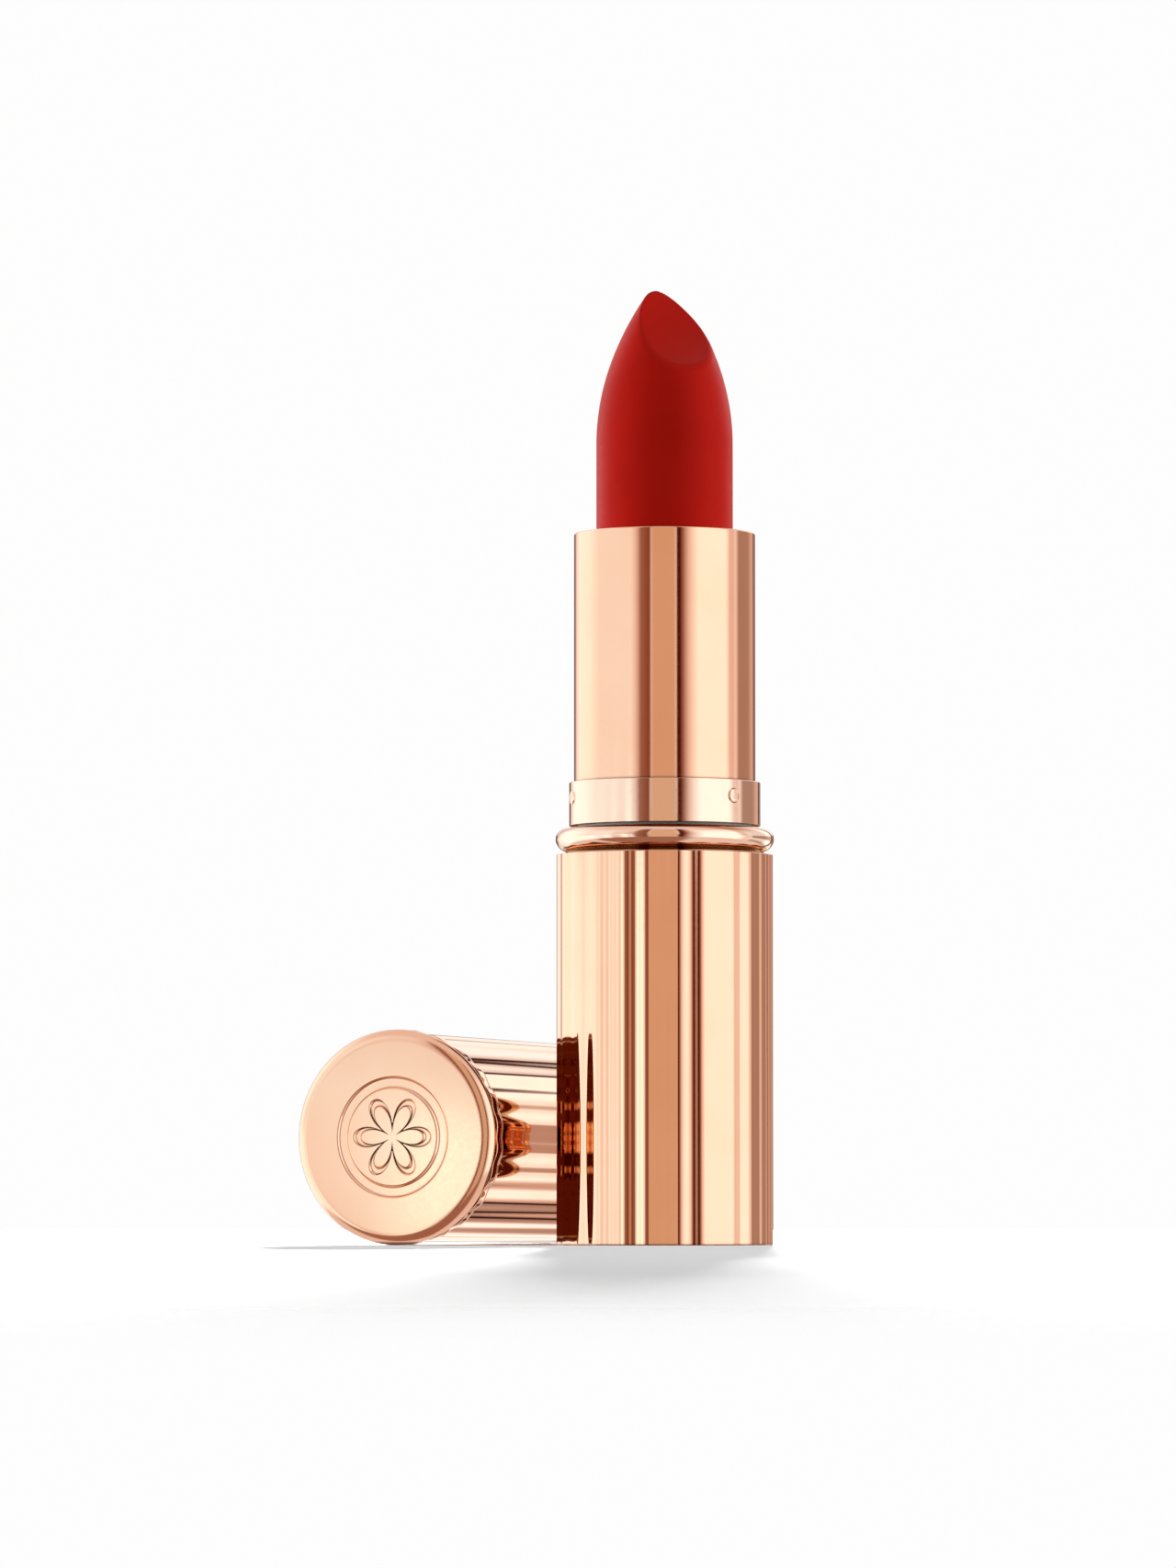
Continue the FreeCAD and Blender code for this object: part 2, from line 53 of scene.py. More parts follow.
PIP_TURNS = (-45.0, 75.0, 195.0)
PIP_LEVEL = 41.0
PIP_RADIUS = 0.7
PIP_HEIGHT = 0.19
STICK_RADIUS = 6.3
FACET_RADIUS = 19.6
MOUTH_MIDDLE = 17.125


# ---------------------------------------------------------------- outlines and meshes

def rounded(corners, closed, step=math.radians(8), support=0.015):
    """Round the corners of an outline of (radius, height, round, flute share).

    Every arc ends in a close pair of points, so that the shading of the straight parts
    stays flat. A corner with no round stays as it is. Returns rows of (radius, height,
    flute share).
    """
    rows = []
    count = len(corners)
    for index, (across, up, fillet, share) in enumerate(corners):
        here = Vector((across, up))
        if not fillet or (not closed and index in (0, count - 1)):
            rows.append((across, up, share))
            continue
        before = here - Vector(corners[index - 1][:2])
        after = Vector(corners[(index + 1) % count][:2]) - here
        turn = before.angle(after)
        reach = fillet * math.tan(turn / 2)
        start = here - before.normalized() * reach
        side = Vector((-before.y, before.x)).normalized()
        if side.dot(after) < 0:
            side = -side
        centre = start + side * fillet
        rows.append((*(start - before.normalized() * support), share))
        steps = max(3, math.ceil(turn / step))
        for number in range(steps + 1):
            angle = turn * number / steps
            spoke = -side * math.cos(angle) + before.normalized() * math.sin(angle)
            rows.append((*(centre + spoke * fillet), share))
        end = here + after.normalized() * reach
        rows.append((*(end + after.normalized() * support), share))
    return rows


def flute_inset(angle):
    """How far the fluted wall lies inside its crests."""
    wave = FLUTES * angle
    half = FLUTE_DEPTH / 2
    return half * (1 - np.cos(wave)) - half * FLUTE_SHARPNESS * (1 - np.cos(2 * wave))


def mesh_object(name, points, faces):
    """A smooth-shaded object from points in millimetres, with its faces turned outwards."""
    mesh = bpy.data.meshes.new(name)
    mesh.from_pydata((np.asarray(points) * MM).tolist(), [], faces)
    mesh.polygons.foreach_set("use_smooth", [True] * len(mesh.polygons))
    mesh.update()
    mesh.calc_loop_triangles()
    triangles = np.zeros(len(mesh.loop_triangles) * 3, dtype=np.int32)
    mesh.loop_triangles.foreach_get("vertices", triangles)
    first, second, third = np.asarray(points)[triangles.reshape(-1, 3)].transpose(1, 0, 2)
    if np.sum(first * np.cross(second, third)) < 0:
        mesh.flip_normals()
    item = bpy.data.objects.new(name, mesh)
    bpy.context.scene.collection.objects.link(item)
    return item


def ring_faces(rows, segments, closed):
    """Quads between neighbouring rings of points."""
    faces = []
    last = rows if closed else rows - 1
    for row in range(last):
        low, high = row * segments, (row + 1) % rows * segments
        for place in range(segments):
            after = (place + 1) % segments
            faces.append((low + place, low + after, high + after, high + place))
    return faces


def surface(name, grid, closed):
    """An object from a grid of points: rows along the outline, columns round the axis.

    A closed grid joins its last row to its first. An open one shrinks to a point at both ends.
    """
    rows, segments = grid.shape[:2]
    if closed:
        return mesh_object(name, grid.reshape(-1, 3), ring_faces(rows, segments, True))
    inner = grid[1:-1]
    points = np.vstack([inner.reshape(-1, 3), grid[0, :1], grid[-1, :1]])
    faces = ring_faces(rows - 2, segments, False)
    first, last = len(points) - 2, len(points) - 1
    offset = (rows - 3) * segments
    for place in range(segments):
        after = (place + 1) % segments
        faces.append((first, after, place))
        faces.append((last, offset + place, offset + after))
    return mesh_object(name, points, faces)


def round_z(radius, height, angle):
    """Points from radii, heights and angles."""
    return np.stack([radius * np.cos(angle), radius * np.sin(angle), height], axis=2)


def lathe(name, corners, closed, segments=360, flute_turn=0.0, outward=None):
    """Turn an outline about Z, with flutes where its corners ask for them."""
    rows = np.array(rounded(corners, closed))
    angle = np.arange(segments) * math.tau / segments
    inset = flute_inset(angle - math.radians(flute_turn))
    radius = rows[:, :1] - rows[:, 2:] * inset[None, :]
    height = np.repeat(rows[:, 1:2], segments, axis=1)
    if outward:
        radius = radius + outward(radius, height, angle[None, :])
    return surface(name, round_z(radius, height, angle), closed)


def smooth(low, high, value):
    """Zero below low, one above high, and an S-curve between."""
    share = np.clip((value - low) / (high - low), 0, 1)
    return share * share * (3 - 2 * share)


def subdivide(start, end, count):
    """Corners along a straight run, for a surface that is shaped afterwards."""
    return [(*(np.array(start) * (1 - s) + np.array(end) * s), 0, 0) for s in np.linspace(0, 1, count)]


def arc(start, end, radius, count=12):
    """Corners along an arc that bulges to the right of the way from start to end."""
    start, end = np.array(start), np.array(end)
    chord = end - start
    half = np.linalg.norm(chord) / 2
    left = np.array([-chord[1], chord[0]]) / (2 * half)
    centre = (start + end) / 2 + left * math.sqrt(radius ** 2 - half ** 2)
    spoke = start - centre
    opening = 2 * math.asin(half / radius)
    corners = []
    for turn in np.linspace(0, opening, count):
        across = spoke[0] * math.cos(turn) - spoke[1] * math.sin(turn)
        up = spoke[0] * math.sin(turn) + spoke[1] * math.cos(turn)
        corners.append((centre[0] + across, centre[1] + up, 0, 0))
    return corners


# ---------------------------------------------------------------- the case

def base_shell():
    """Fluted shell with crisp ends and the label's shallow seat."""
    corners = [
        (0, 0.1, 0, 0), (8.0, 0.1, 0.02, 0), (8.0, 0, 0.02, 0),
        (10.0, 0, 0.1, 1), (10.0, 35.85, 0.08, 1),
        (9.2, 35.85, 0.04, 0), (9.2, 0.8, 0.1, 0), (0, 0.8, 0, 0),
    ]
    return lathe("fluted_base", corners, False, segments=FLUTE_SEGMENTS, flute_turn=BASE_TURN)


def trim_ring():
    """Bullnose ring with a short neck and its spigot."""
    corners = [(8.2, 34.5, 0.04, 0), (9.2, 34.5, 0.04, 0), (9.2, 35.85, 0.03, 0), (9.1, 35.85, 0.03, 0)]
    corners += arc((9.1, 36.15), (10.05, 37.15), 1.25)
    corners += [(10.05, 38.25, 0.95, 0), (8.2, 38.25, 0.05, 0)]
    return lathe("bullnose_ring", corners, True)


def pip_bumps(radius, height, angle):
    """Three domed pips round the collar."""
    raised = np.zeros_like(radius)
    for turn in PIP_TURNS:
        away = (angle - math.radians(turn) + math.pi) % math.tau - math.pi
        distance = np.hypot(away * COLLAR_RADIUS, height - PIP_LEVEL)
        edge = np.sqrt(np.clip(1 - (distance / PIP_RADIUS) ** 2, 0, 1))
        raised = np.maximum(raised, PIP_HEIGHT * smooth(0, 0.85, edge))
    on_outer_wall = radius > COLLAR_RADIUS - 0.01
    return raised * on_outer_wall


def snap_collar():
    """Pale collar with three domed pips."""
    corners = [(8.35, 38.5, 0.03, 0), (COLLAR_RADIUS, 38.5, 0.06, 0)]
    corners += subdivide((COLLAR_RADIUS, 40.2), (COLLAR_RADIUS, 41.8), 54)
    corners += [(COLLAR_RADIUS, 42.5, 0.06, 0), (8.35, 42.5, 0.03, 0)]
    return lathe("snap_band", corners, True, segments=1440, outward=pip_bumps)


def sleeve_tube():
    """Bright tube with a lip turned in at its mouth."""
    corners = [
        (8.05, 38.5, 0.03, 0), (8.35, 38.5, 0.05, 0), (8.35, 65.5, 0.13, 0),
        (6.95, 65.5, 0.1, 0), (6.95, 65.1, 0.1, 0), (8.05, 65.1, 0.05, 0),
    ]
    return lathe("bright_tube", corners, True)


def bullet_radius(height):
    """Radius of the colour stick before its facet is cut: two tangent arcs."""
    shoulder, flank, top, nose = 73.8, 22.0, 81.1, 27.4
    flank_centre = STICK_RADIUS - flank
    spoke = np.array([math.sqrt(flank ** 2 - (top - shoulder) ** 2), top - shoulder])
    nose_centre = np.array([flank_centre, shoulder]) + spoke * (1 - nose / flank)
    above_shoulder = np.clip(height - shoulder, 0, None)
    lower = flank_centre + np.sqrt(np.clip(flank ** 2 - above_shoulder ** 2, 0, None))
    upper = nose_centre[0] + np.sqrt(np.clip(nose ** 2 - (height - nose_centre[1]) ** 2, 0, None))
    return np.where(height <= top, lower, upper)


def past_facet(points):
    """How far points lie inside the round cutter that hollows the facet."""
    slope, roll, turn = math.radians(50.0), math.radians(27.9), math.radians(29.6)
    outward = Vector((0, -math.sin(slope), math.cos(slope)))
    uphill = Vector((0, math.cos(slope), math.sin(slope)))
    axis = Vector((math.cos(roll), 0, 0)) + uphill * math.sin(roll)
    middle = Vector((0, -1.5, 84.16)) + outward * FACET_RADIUS
    spin = Matrix.Rotation(turn, 3, "Z")
    from_middle = points - np.array(spin @ middle)
    along = from_middle @ np.array(spin @ axis)
    return FACET_RADIUS - np.sqrt(np.sum(from_middle ** 2, axis=2) - along ** 2)


def bullet():
    """Colour stick: a pointed form with one slanted facet, whose lower edge is drawn in a little.

    The tip is found along rays from a point on the axis, by halving the reach of each ray.
    """
    segments, rays, halvings = 480, 260, 40
    centre, longest_ray = 74.0, 20.0
    soft, lip, lip_width, lip_fade = 0.05, 0.07, 0.16, (82.0, 86.0)
    angle = np.arange(segments) * math.tau / segments
    rise = np.linspace(0, math.pi / 2, rays)
    out = np.cos(rise)[:, None] * np.ones(segments)[None, :]
    up = np.sin(rise)[:, None] * np.ones(segments)[None, :]
    near, far = np.zeros_like(out), np.full_like(out, longest_ray)
    for _ in range(halvings):
        reach = (near + far) / 2
        height = centre + reach * up
        form = reach * out - bullet_radius(height)
        facet = past_facet(round_z(reach * out, height, angle))
        blend = np.clip(1 - np.abs(form - facet) / soft, 0, 1)
        sunk = lip * np.exp(-((form - facet) / lip_width) ** 2) * (1 - smooth(*lip_fade, height))
        outside = np.maximum(form, facet) + soft / 4 * blend ** 2 + sunk > 0
        far = np.where(outside, reach, far)
        near = np.where(outside, near, reach)
    reach = (near + far) / 2
    tip = round_z(reach * out, centre + reach * up, angle)
    tip[-1] = tip[-1].mean(axis=0)
    corners = [(0, 56.3, 0, 0), (STICK_RADIUS, 56.3, 0.1, 0), (STICK_RADIUS, centre, 0, 0)]
    rows = rounded(corners, False)[:-1] + [(STICK_RADIUS, level, 0) for level in (60.0, 65.0, 70.0, 73.0)]
    foot = np.array(rows)
    stem = round_z(foot[:, :1], np.repeat(foot[:, 1:2], segments, axis=1), angle)
    return surface("colour_stick", np.vstack([stem, tip]), False)


# ---------------------------------------------------------------- the cap

def cap_matrix():
    """From the cap's own axes, mouth at zero and closed end up, to where it lies."""
    mouth = next(m for m in frame["record"]["mounts"] if m["name"] == "cap_mouth")
    along = -Vector(mouth["axis"]).normalized()
    origin = Vector(mouth["pos_m"]) - along * MOUTH_MIDDLE * MM
    side = Vector((0, 0, 1)).cross(along).normalized()
    above = along.cross(side)
    turn = Matrix((side, above, along)).transposed().to_4x4()
    return Matrix.Translation(origin) @ turn


def cap_shell():
    """Fluted shell that flares a little into the rim of its closed end."""
    flare = [(9.6 + 0.28 * float(smooth(0, 1, s)), 34.9 + 1.1 * s, 0, 1) for s in np.linspace(0, 1, 14)]
    outline = [(0, 36.1, 0, 0), (9.25, 36.1, 0.3, 0), (9.25, 0, 0.05, 0), (9.6, 0, 0.1, 1)] + flare
    outline += [(9.88, 36.85, 0.08, 1), (9.3, 36.85, 0.05, 0), (9.3, 36.7, 0.03, 0), (0, 36.7, 0, 0)]
    return lathe("fluted_cap", outline, False, segments=FLUTE_SEGMENTS, flute_turn=CAP_TURN)


def emblem_depth(across, up):
    """A plain pressed motif: an open ring round a small rosette."""
    radius = np.hypot(across, up)
    angle = np.arctan2(up, across)
    ring = 1 - smooth(0.34, 0.6, np.abs(radius - 5.0))
    petal = np.clip(3.5 * np.abs(np.cos(3 * angle)) ** 0.6, 0.9, None)
    rosette = 1 - smooth(0.18, 0.44, np.abs(radius - petal))
    return np.maximum(ring, rosette)


def medallion():
    """Domed disc with the pressed motif, and the foot that sets it into the shell."""
    shoulder, level, crown, depth = 8.7, 38.25, 0.2, 0.2
    dome = (shoulder ** 2 + crown ** 2) / (2 * crown)
    side = rounded([
        (0, 36.7, 0, 0), (9.2, 36.7, 0.04, 0), (9.2, 37.2, 0.03, 0),
        (9.86, 37.2, 0.12, 0), (9.86, 37.5, 0, 0),
    ], False)
    rim = [corner[:2] for corner in side + arc((9.86, 37.5), (shoulder, level), 1.3, 16)[1:]]
    face = [
        (radius, level + crown - dome + math.sqrt(dome ** 2 - radius ** 2))
        for radius in np.linspace(shoulder - 0.05, 0, 174)
    ]
    rows = np.array(rim + face)
    segments = 720
    angle = np.arange(segments) * math.tau / segments
    radius = np.repeat(rows[:, :1], segments, axis=1)
    height = np.repeat(rows[:, 1:2], segments, axis=1)
    on_face = (np.arange(len(rows)) >= len(rim))[:, None]
    height = height - depth * emblem_depth(radius * np.cos(angle), radius * np.sin(angle)) * on_face
    return surface("domed_disc", round_z(radius, height, angle), False)


# ---------------------------------------------------------------- materials

def new_material(name):
    """A material, its node tree and its shader node."""
    material = bpy.data.materials.new(name)
    material.use_nodes = True
    tree = material.node_tree
    shader = tree.nodes["Principled BSDF"]
    return material, tree, shader


def noise(tree, scale, detail=2.0, stretch=(1, 1, 1)):
    """Noise in the piece's own coordinates, stretched along its axes."""
    place = tree.nodes.new("ShaderNodeTexCoord")
    mapping = tree.nodes.new("ShaderNodeMapping")
    mapping.inputs["Scale"].default_value = stretch
    texture = tree.nodes.new("ShaderNodeTexNoise")
    texture.inputs["Scale"].default_value = scale
    texture.inputs["Detail"].default_value = detail
    tree.links.new(place.outputs["Object"], mapping.inputs["Vector"])
    tree.links.new(mapping.outputs["Vector"], texture.inputs["Vector"])
    return texture.outputs["Fac"]


def ramp(tree, source, *stops):
    """A colour ramp of (position, linear colour) stops."""
    node = tree.nodes.new("ShaderNodeValToRGB")
    elements = node.color_ramp.elements
    while len(elements) < len(stops):
        elements.new(0.5)
    for element, (position, colour) in zip(elements, stops):
        element.position = position
        element.color = (*colour, 1)
    tree.links.new(source, node.inputs["Fac"])
    return node.outputs["Color"]


def spread(tree, source, low, high):
    """Map a noise value to a narrow range."""
    node = tree.nodes.new("ShaderNodeMapRange")
    node.inputs["From Min"].default_value = 0.3
    node.inputs["From Max"].default_value = 0.7
    node.inputs["To Min"].default_value = low
    node.inputs["To Max"].default_value = high
    tree.links.new(source, node.inputs["Value"])
    return node.outputs["Result"]


def bump(tree, source, distance, strength=1.0):
    """A bump from a noise value, with its height in metres."""
    node = tree.nodes.new("ShaderNodeBump")
    node.inputs["Strength"].default_value = strength
    node.inputs["Distance"].default_value = distance
    tree.links.new(source, node.inputs["Height"])
    return node.outputs["Normal"]


def colour_mix(tree, share, first, second, blend="MIX"):
    """A mix of two colours that come from nodes."""
    node = tree.nodes.new("ShaderNodeMix")
    node.data_type = "RGBA"
    node.blend_type = blend
    if isinstance(share, (int, float)):
        node.inputs["Factor"].default_value = share
    else:
        tree.links.new(share, node.inputs["Factor"])
    tree.links.new(first, node.inputs["A"])
    tree.links.new(second, node.inputs["B"])
    return node.outputs["Result"]


def painted_crevice_shade(tree, reach):
    """Painted shade: the colour turns dark where neighbouring surfaces close in, at the seams between
    pieces, read from ambient occlusion.
    """
    node = tree.nodes.new("ShaderNodeAmbientOcclusion")
    node.samples = 8
    node.inputs["Distance"].default_value = reach
    return ramp(tree, node.outputs["AO"], (0.35, (0.12, 0.07, 0.06)), (0.85, (1, 1, 1)))


def surface_material(
    name, dark, light, rough, grain, metallic=0.0, grain_height=0.0, stretch=(1, 1, 1), gloss=0.5, crevice_shade_reach=0.0,
):
    """A material whose colour and roughness drift, with an optional fine grain and optional painted shade
    in its seams and crevices.
    """
    material, tree, shader = new_material(name)
    drift = noise(tree, 180.0, 3.0, stretch)
    colour = ramp(tree, drift, (0.3, dark), (0.7, light))
    # painted shade: the colour is multiplied darker where ambient occlusion finds nearby surfaces
    if crevice_shade_reach:
        colour = colour_mix(tree, 1.0, colour, painted_crevice_shade(tree, crevice_shade_reach), "MULTIPLY")
    tree.links.new(colour, shader.inputs["Base Color"])
    fine = noise(tree, grain, 4.0, stretch)
    tree.links.new(spread(tree, fine, *rough), shader.inputs["Roughness"])
    if grain_height:
        tree.links.new(bump(tree, fine, grain_height), shader.inputs["Normal"])
    shader.inputs["Metallic"].default_value = metallic
    shader.inputs["Specular IOR Level"].default_value = gloss
    return material


def metal(name, dark, light, rough):
    """A plated metal with painted shade in the seams where it meets its neighbours."""
    return surface_material(name, dark, light, rough, 2500.0, metallic=1.0, crevice_shade_reach=0.4 * MM)


# the four plated metals carry painted shade in their seams and crevices
ROSE = metal("rose_gold_fluted", (0.93, 0.575, 0.395), (0.96, 0.605, 0.425), (0.035, 0.07))
TUBE = metal("rose_gold_tube", (0.93, 0.575, 0.395), (0.96, 0.605, 0.425), (0.04, 0.07))
PALE = metal("rose_gold_pale", (0.93, 0.68, 0.53), (0.96, 0.71, 0.56), (0.05, 0.09))
DISC = metal("rose_gold_disc", (0.93, 0.62, 0.44), (0.96, 0.65, 0.47), (0.13, 0.17))
WAX = surface_material(
    "colour_wax", (0.43, 0.0055, 0.0015), (0.47, 0.0065, 0.002), (0.34, 0.42), 1500.0,
    grain_height=0.003 * MM, gloss=0.1)
LINER = surface_material(
    "liner_plastic", (0.62, 0.6, 0.56), (0.68, 0.66, 0.62), (0.3, 0.38), 900.0, grain_height=0.002 * MM)
GUIDE = surface_material(
    "guide_plastic", (0.52, 0.49, 0.45), (0.58, 0.55, 0.5), (0.32, 0.42), 900.0, grain_height=0.002 * MM)
STEEL = surface_material(
    "turned_steel", (0.42, 0.42, 0.42), (0.55, 0.55, 0.54), (0.25, 0.4), 900.0,
    metallic=1.0, grain_height=0.003 * MM, stretch=(1, 1, 20))
RUBBER = surface_material(
    "brake_rubber", (0.018, 0.018, 0.018), (0.03, 0.03, 0.03), (0.6, 0.75), 1200.0, grain_height=0.01 * MM)
PAPER = surface_material(
    "label_paper", (0.72, 0.69, 0.64), (0.8, 0.77, 0.72), (0.5, 0.62), 1800.0, grain_height=0.006 * MM)


# ---------------------------------------------------------------- fit the pieces

def fit(piece, node, body, material):
    """Ride a piece on its body, in the place of its CAD node."""
    piece.data.materials.append(material)
    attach(piece, body)
    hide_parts(node)


fit(base_shell(), "base_shell", "base", ROSE)
fit(trim_ring(), "trim_ring", "base", PALE)
fit(snap_collar(), "snap_collar", "sleeve", PALE)
fit(sleeve_tube(), "sleeve_tube", "sleeve", TUBE)
fit(bullet(), "bullet", "carrier", WAX)

lying = cap_matrix()
for make, node, slot, material in (
    (cap_shell, "cap_shell", "fluted_metal", ROSE),
    (medallion, "cap_medallion", "medallion_metal", DISC),
):
    piece = make()
    piece.data.transform(lying)
    fit(piece, node, "cap", material)

for node, material in (
    ("base_liner", LINER), ("base_weight", STEEL), ("base_label", PAPER), ("guide_tube", GUIDE),
    ("brake_ring", RUBBER), ("spiral_sleeve", GUIDE), ("bullet_cup", GUIDE), ("cap_liner", LINER),
):
    mesh = frame["nodes"][node].data
    mesh.materials.clear()
    mesh.materials.append(material)


# ---------------------------------------------------------------- studio

ON = (1, 1, 1)
OFF = (0, 0, 0)
WHITE = (1.38, 1.38, 1.38)
SOFT = (1.03, 1.07, 1.08)
PEACH = (0.86, 0.70, 0.66)
COPPER = (0.72, 0.49, 0.34)
BROWN = (0.58, 0.35, 0.27)
SHADE = (0.36, 0.17, 0.12)
DARK = (0.25, 0.085, 0.045)
BLACK = (0.08, 0.008, 0.002)
CREAM = (1.4, 1.72, 1.66)
BLUSH = (1.0, 0.92, 0.87)
FADED = (0.9, 0.78, 0.74)
AMBER = (0.95, 0.75, 0.5)
EMBER = (0.1, 0.02, 0.006)
BRIGHT = (2.2, 2.3, 2.4)
DIM = (0.32, 0.21, 0.17)
HALF = (0.64, 0.62, 0.60)

# what stands round the case, by azimuth in degrees: 0 towards the camera, positive to the right
LOW_WALLS = [
    (-180, SOFT), (-150, SOFT), (-138, WHITE), (-84, WHITE), (-72, SOFT), (-64, WHITE), (-57, BLUSH),
    (-52, BLUSH), (-49.5, SOFT), (-45, CREAM), (-42, CREAM), (-39.5, SOFT), (-36, SOFT), (-31, SHADE),
    (-21, DARK), (-19, DARK), (-18, COPPER), (13, COPPER), (14.5, BLACK), (18, BLACK), (22, SHADE),
    (29, PEACH), (42, WHITE), (86, WHITE), (98, PEACH), (108, WHITE), (132, WHITE), (143, BRIGHT),
    (152, BRIGHT), (154, BLACK), (157, BLACK), (159, WHITE),
]
HIGH_WALLS = [
    (-180, SOFT), (-155, PEACH), (-140, WHITE), (-112, WHITE), (-92, SOFT), (-44, SOFT), (-37, PEACH),
    (-31, SHADE), (-21, DARK), (-19, DARK), (-18, PEACH), (-15, COPPER), (11, COPPER), (14, PEACH),
    (15.5, BLACK), (19, BLACK), (23, SHADE), (30, PEACH), (43, WHITE), (84, WHITE), (91, PEACH),
    (98, PEACH), (108, WHITE), (132, WHITE), (143, BRIGHT), (152, BRIGHT), (154, BLACK), (157, BLACK),
    (159, WHITE), (174, WHITE), (180, SOFT),
]
# where the walls are shaded by height, by the sine of the elevation: an azimuth mask and its shades
FRONT_LEFT = [(-61.2, OFF), (-57.6, ON), (-39.6, ON), (-36, OFF)]
FRONT_LEFT_SHADES = [(-0.09, FADED), (-0.02, ON), (0.09, ON), (0.14, FADED)]
BACK = [(-162, ON), (-154.8, OFF), (100.8, OFF), (108, ON)]
BACK_SHADES = [(-0.36, DIM), (-0.30, HALF), (-0.13, HALF), (-0.10, DIM), (0.10, DIM), (0.14, HALF)]
FAR_BACK = [(-165.6, ON), (-158.4, OFF), (162, OFF), (167.4, ON)]
FAR_BACK_SHADES = [(-0.10, WHITE), (-0.06, BROWN), (0.09, BROWN), (0.13, WHITE)]
# the ceiling has a flag on its right, and starts higher up in front
CEILING = [(0, WHITE), (0.86, PEACH)]
CEILING_FLAG = [(86.4, ON), (97.2, BROWN), (144, BROWN), (151.2, ON)]
CEILING_EDGE = [(0.44, OFF), (0.76, ON)]
FRONT = [(-39.6, OFF), (-32.4, ON), (32.4, ON), (39.6, OFF)]
FRONT_CEILING_EDGE = [(0.76, OFF), (0.9, ON)]
GROUND = [(-90, PEACH), (-79.2, SHADE), (21.6, SHADE), (36, PEACH)]
GROUND_EDGE = [(-0.46, ON), (-0.4, OFF)]
HIGH_WALL_EDGE = [(0.046, OFF), (0.052, ON)]
# what a reflection seen in another reflection is tinted with
SECOND_LOOK = [(-0.4, EMBER), (-0.16, AMBER), (0.2, AMBER), (0.44, EMBER)]

DOME = (0.25, 0.25, 0.25)
BACKGROUND = (0.99, 0.985, 0.985)


def math_node(tree, operation, *values):
    """A math node whose inputs are other nodes' outputs or plain numbers."""
    node = tree.nodes.new("ShaderNodeMath")
    node.operation = operation
    for socket, value in zip(node.inputs, values):
        if isinstance(value, (int, float)):
            socket.default_value = value
        else:
            tree.links.new(value, socket)
    return node.outputs[0]


def backdrop(tree, colour):
    """A background shader of one colour, or of a node's colour."""
    node = tree.nodes.new("ShaderNodeBackground")
    if isinstance(colour, tuple):
        node.inputs["Color"].default_value = (*colour, 1)
    else:
        tree.links.new(colour, node.inputs["Color"])
    return node.outputs[0]


def shader_mix(tree, share, first, second):
    """A mix of two shaders."""
    node = tree.nodes.new("ShaderNodeMixShader")
    tree.links.new(share, node.inputs["Fac"])
    tree.links.new(first, node.inputs[1])
    tree.links.new(second, node.inputs[2])
    return node.outputs[0]


def by_azimuth(tree, share, stops):
    """A ramp of (degrees, colour) stops over the azimuth's share of a turn."""
    return ramp(tree, share, *[((turn + 180) / 360, colour) for turn, colour in stops])


def by_height(tree, level, stops):
    """A ramp of (sine of the elevation, colour) stops over a level from nadir to zenith."""
    return ramp(tree, level, *[(sine / 2 + 0.5, colour) for sine, colour in stops])


def studio_colour(tree, share, level):
    """Colour of the softboxes and flags by direction."""
    low, high = (by_azimuth(tree, share, walls) for walls in (LOW_WALLS, HIGH_WALLS))
    colour = colour_mix(tree, by_height(tree, level, HIGH_WALL_EDGE), low, high)
    for sector, shades in (
        (BACK, BACK_SHADES), (FRONT_LEFT, FRONT_LEFT_SHADES), (FAR_BACK, FAR_BACK_SHADES),
    ):
        mask = by_azimuth(tree, share, sector)
        colour = colour_mix(tree, mask, colour, by_height(tree, level, shades), "MULTIPLY")
    flag = by_azimuth(tree, share, CEILING_FLAG)
    ceiling = colour_mix(tree, 1.0, by_height(tree, level, CEILING), flag, "MULTIPLY")
    edge, front_edge = (by_height(tree, level, stops) for stops in (CEILING_EDGE, FRONT_CEILING_EDGE))
    overhead = colour_mix(tree, by_azimuth(tree, share, FRONT), edge, front_edge)
    colour = colour_mix(tree, overhead, colour, ceiling)
    return colour_mix(tree, by_height(tree, level, GROUND_EDGE), colour, by_azimuth(tree, share, GROUND))


def build_world():
    """A studio that only reflections see, an even dome for soft light, and a plain background."""
    world = bpy.data.worlds.new("studio")
    world.use_nodes = True
    bpy.context.scene.world = world
    tree = world.node_tree
    tree.nodes.clear()
    place = tree.nodes.new("ShaderNodeTexCoord")
    parts = tree.nodes.new("ShaderNodeSeparateXYZ")
    tree.links.new(place.outputs["Generated"], parts.inputs["Vector"])
    across, away, up = parts.outputs
    azimuth = math_node(tree, "ARCTAN2", across, math_node(tree, "MULTIPLY", away, -1))
    share = math_node(tree, "ADD", math_node(tree, "DIVIDE", azimuth, math.tau), 0.5)
    level = math_node(tree, "ADD", math_node(tree, "MULTIPLY", up, 0.5), 0.5)
    path = tree.nodes.new("ShaderNodeLightPath")
    is_second_look = math_node(tree, "GREATER_THAN", path.outputs["Glossy Depth"], 1.5)
    tint = by_height(tree, level, SECOND_LOOK)
    colour = colour_mix(tree, is_second_look, studio_colour(tree, share, level), tint, "MULTIPLY")
    unseen = shader_mix(tree, path.outputs["Is Glossy Ray"], backdrop(tree, DOME), backdrop(tree, colour))
    seen = shader_mix(tree, path.outputs["Is Camera Ray"], unseen, backdrop(tree, BACKGROUND))
    output = tree.nodes.new("ShaderNodeOutputWorld")
    tree.links.new(seen, output.inputs["Surface"])


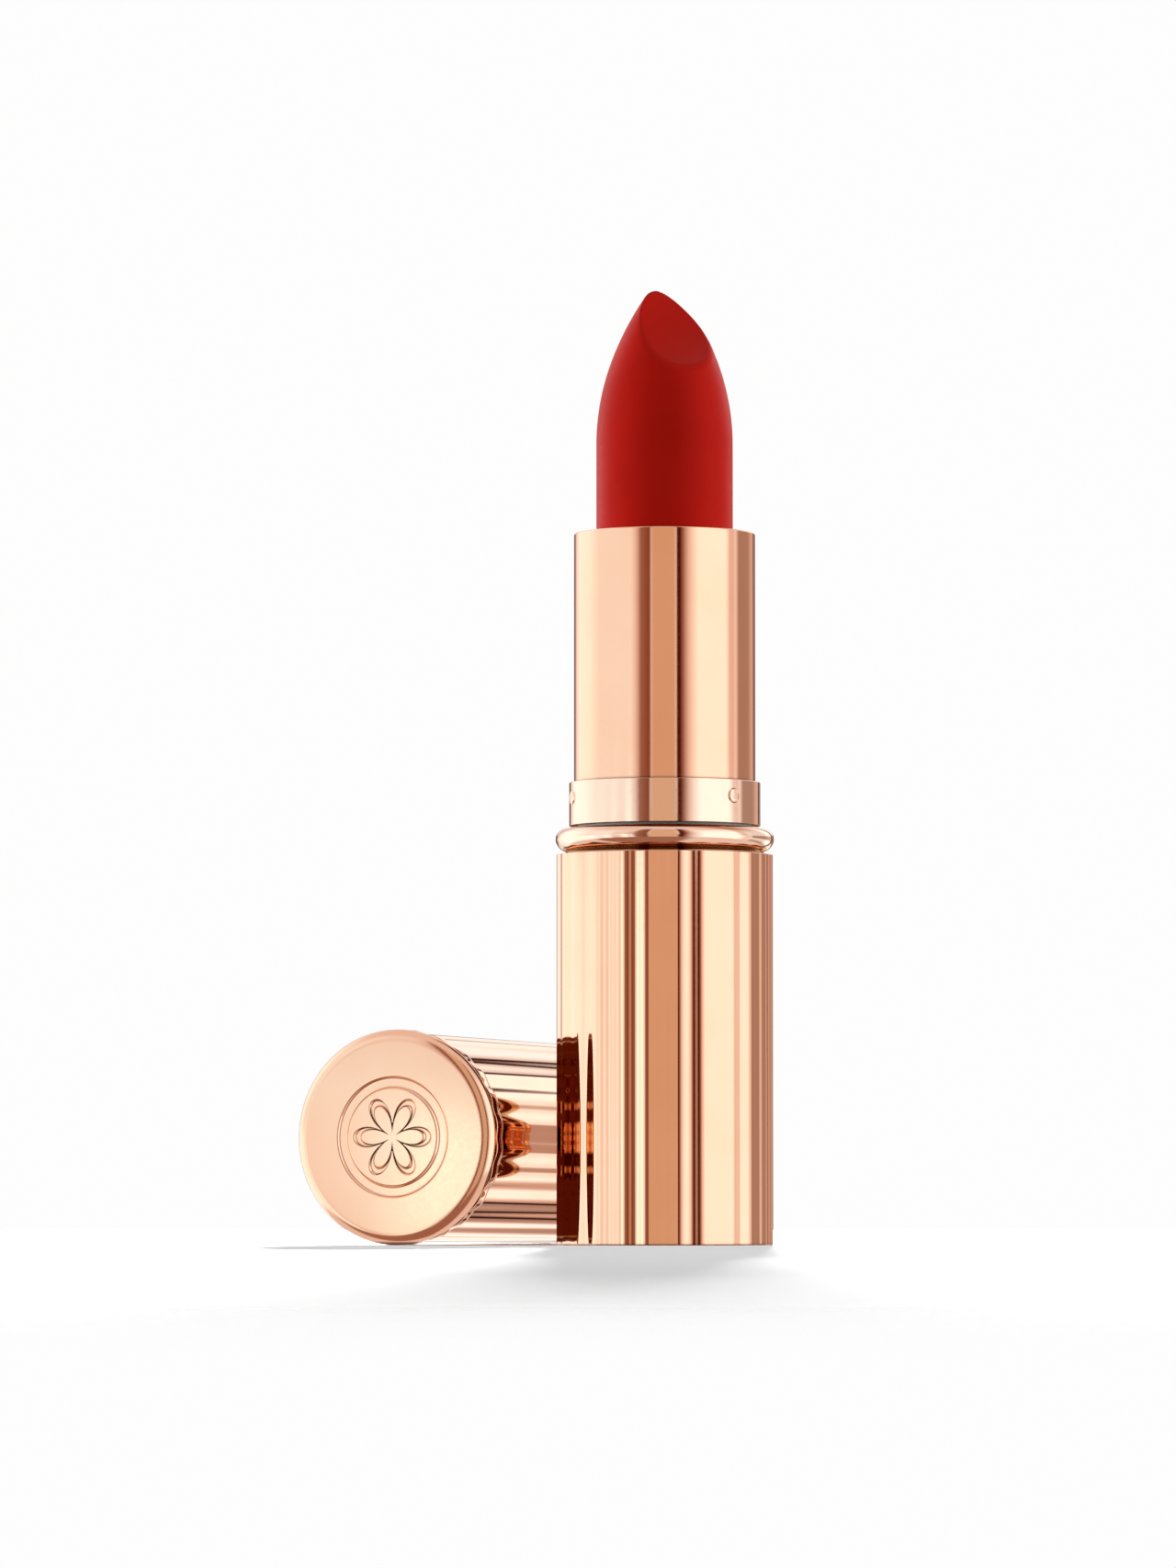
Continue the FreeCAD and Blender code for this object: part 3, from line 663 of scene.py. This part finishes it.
def build_floor():
    """A plain pale floor that fades out into the background, left out of reflections and bounces."""
    half_width, fade_start, fade_end = 0.6, 0.28, 0.52
    mesh = bpy.data.meshes.new("floor")
    corners = [(x * half_width, y * half_width, 0) for x, y in ((-1, -1), (1, -1), (1, 1), (-1, 1))]
    mesh.from_pydata(corners, [], [(0, 1, 2, 3)])
    floor = bpy.data.objects.new("floor", mesh)
    bpy.context.scene.collection.objects.link(floor)
    paper = surface_material(
        "floor_paper", (0.8, 0.8, 0.8), (0.82, 0.82, 0.82), (0.7, 0.8), 40.0, gloss=0.0)
    tree = paper.node_tree
    shader = tree.nodes["Principled BSDF"]
    shader.inputs["Emission Color"].default_value = (0.98, 0.975, 0.975, 1)
    shader.inputs["Emission Strength"].default_value = 0.02
    place = tree.nodes.new("ShaderNodeTexCoord")
    length = tree.nodes.new("ShaderNodeVectorMath")
    length.operation = "LENGTH"
    tree.links.new(place.outputs["Object"], length.inputs[0])
    fade = tree.nodes.new("ShaderNodeMapRange")
    fade.interpolation_type = "SMOOTHSTEP"
    fade.inputs["From Min"].default_value = fade_start
    fade.inputs["From Max"].default_value = fade_end
    fade.inputs["To Min"].default_value = 1
    fade.inputs["To Max"].default_value = 0
    tree.links.new(length.outputs["Value"], fade.inputs["Value"])
    tree.links.new(fade.outputs["Result"], shader.inputs["Alpha"])
    floor.data.materials.append(paper)
    floor.visible_glossy = False
    floor.visible_diffuse = False
    return floor


def soft_light(name, azimuth, elevation, distance, width, power):
    """A square soft light aimed at the case from an azimuth and an elevation in degrees."""
    data = bpy.data.lights.new(name, "AREA")
    data.size = width
    data.energy = power
    light = bpy.data.objects.new(name, data)
    around, above = math.radians(azimuth), math.radians(elevation)
    away = Vector((
        math.sin(around) * math.cos(above), -math.cos(around) * math.cos(above), math.sin(above),
    ))
    aim = Vector((0, 0, 45 * MM))
    light.location = aim + away * distance
    light.rotation_euler = away.to_track_quat("Z", "Y").to_euler()
    light.visible_glossy = False
    bpy.context.scene.collection.objects.link(light)
    return light


def light_only(light, receiver):
    """Let a light fall on one object only."""
    receivers = bpy.data.collections.new("floor_only")
    receivers.objects.link(receiver)
    light.light_linking.receiver_collection = receivers


def build_camera():
    """The camera, level with the foot and looking a little up."""
    data = bpy.data.cameras.new("camera")
    data.sensor_fit = "HORIZONTAL"
    data.sensor_width = 36
    data.lens = 226.3
    data.clip_start = 0.001
    data.clip_end = 50
    camera = bpy.data.objects.new("camera", data)
    camera.location = (-7.07 * MM, -680 * MM, 3.32 * MM)
    camera.rotation_euler = (math.pi / 2 + 0.05741, 0, 0)
    bpy.context.scene.collection.objects.link(camera)
    bpy.context.scene.camera = camera


build_world()
floor_sheet = build_floor()
soft_light("left_light", -80, 10, 0.7, 0.4, 4.3)
soft_light("right_light", 80, 10, 0.7, 0.4, 4.3)
light_only(soft_light("back_light", 179, 12, 1.0, 0.05, 100.0), floor_sheet)
build_camera()
bpy.context.scene.view_settings.view_transform = "Standard"
